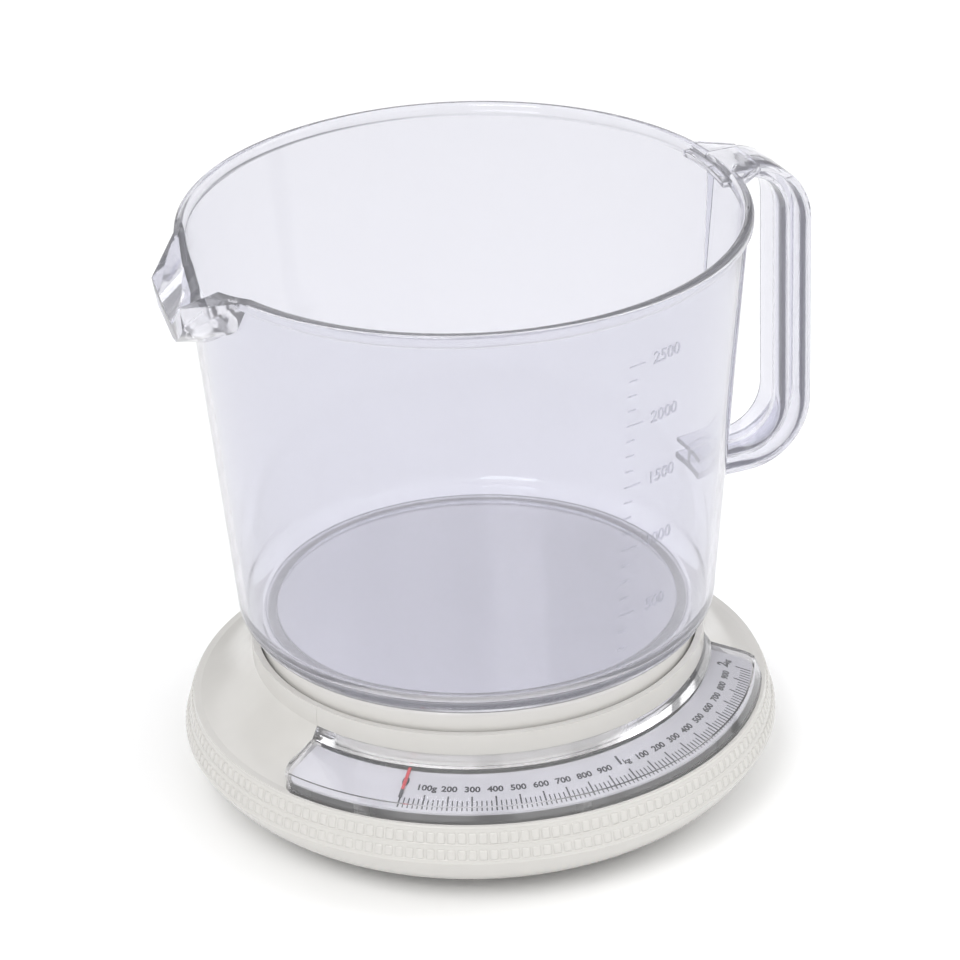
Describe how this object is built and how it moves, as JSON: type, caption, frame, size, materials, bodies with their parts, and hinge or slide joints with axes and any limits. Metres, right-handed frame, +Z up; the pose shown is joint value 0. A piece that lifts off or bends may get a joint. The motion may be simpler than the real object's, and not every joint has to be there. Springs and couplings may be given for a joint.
{
  "type": "mechanical kitchen scale with measuring jug",
  "caption": "Round mechanical kitchen scale: saucer-shaped base with a beaded rim, curved dial window, sprung platform and a clear lift-off measuring jug with spout and loop handle.",
  "frame": {"origin": "centre of the base in the plane its rubber feet stand on", "axes": "+Z up, jug handle towards +X, dial window towards -Y, spout towards -X"},
  "size_m": [0.2224, 0.2, 0.2044],
  "materials": {
    "cream_shell": "glossy moulded ABS",
    "clear_lens": "polished clear styrene",
    "clear_jug": "polished clear SAN with a faint lavender-grey tint",
    "dial_face": "satin silver lacquer with black print",
    "rubber": "matte",
    "steel": "zinc plated",
    "brass": "turned",
    "white_plastic": "natural acetal",
    "pointer_red": "red lacquer",
    "knob_black": "satin"
  },
  "bodies": {
    "root": {"upper_housing": "cream_shell", "lower_housing": "cream_shell", "dial_lens": "clear_lens", "dial_plate": "dial_face", "rubber_feet": "rubber", "housing_screws": "steel", "chassis_bridge": "steel", "bridge_screws": "steel", "guide_tube": "brass", "tube_collar": "brass", "crank_bracket": "steel", "crank_pin": "steel", "rack_guide": "white_plastic", "main_spring": "steel"},
    "platform": {"platform_cap": "cream_shell", "platform_carrier": "white_plastic", "carrier_screws": "steel", "stem": "steel", "stem_pin": "steel", "anti_turn_rod": "steel", "spring_cap": "steel", "stem_clip": "steel", "drive_pin": "steel"},
    "jug": {"measuring_jug": "clear_jug"},
    "pointer": {"pointer_hub": "white_plastic", "pointer_needle": "pointer_red"},
    "crank": {"bell_crank": "steel"},
    "rack": {"pointer_rack": "white_plastic", "rack_pin": "steel"},
    "spring_seat": {"spring_seat": "brass"},
    "zero_knob": {"zero_knob": "knob_black", "knob_clip": "steel"}
  },
  "joints": [
    {"name": "platform_slide", "type": "slide", "parent": "root", "child": "platform", "axis": [0, 0, 1], "range_m": [-0.005, 0], "stiffness_N_per_m": 3924, "springref_m": 0.00106, "deforming": ["main_spring"]},
    {"name": "jug_lift", "type": "slide", "parent": "platform", "child": "jug", "axis": [0, 0, 1], "range_m": [0, 0.15]},
    {"name": "pointer_turn", "type": "hinge", "parent": "root", "child": "pointer", "pos_m": [0, 0, 0.0365], "axis": [0, 0, 1], "range_deg": [-0.5, 102]},
    {"name": "crank_turn", "type": "hinge", "parent": "root", "child": "crank", "pos_m": [0.00818, 0.0148, 0.01335], "axis": [0, -1, 0], "range_deg": [-0.2, 34.2]},
    {"name": "rack_slide", "type": "slide", "parent": "root", "child": "rack", "axis": [-1, 0, 0], "range_m": [-0.0001, 0.0143]},
    {"name": "zero_knob_turn", "type": "hinge", "parent": "root", "child": "zero_knob", "pos_m": [0, 0, 0.004], "axis": [0, 0, 1], "range_deg": [-181, 181]},
    {"name": "seat_lift", "type": "slide", "parent": "root", "child": "spring_seat", "axis": [0, 0, 1], "range_m": [-0.0005, 0.0005], "deforming": ["main_spring"]}
  ],
  "couplings": [
    {"joint": "pointer_turn", "follows": "platform_slide", "rad_per_m": -353.95},
    {"joint": "crank_turn", "follows": "platform_slide", "rad_per_m": -118.68},
    {"joint": "rack_slide", "follows": "platform_slide", "ratio": -2.8316},
    {"joint": "zero_knob_turn", "follows": "seat_lift", "rad_per_m": 6283.2}
  ]
}
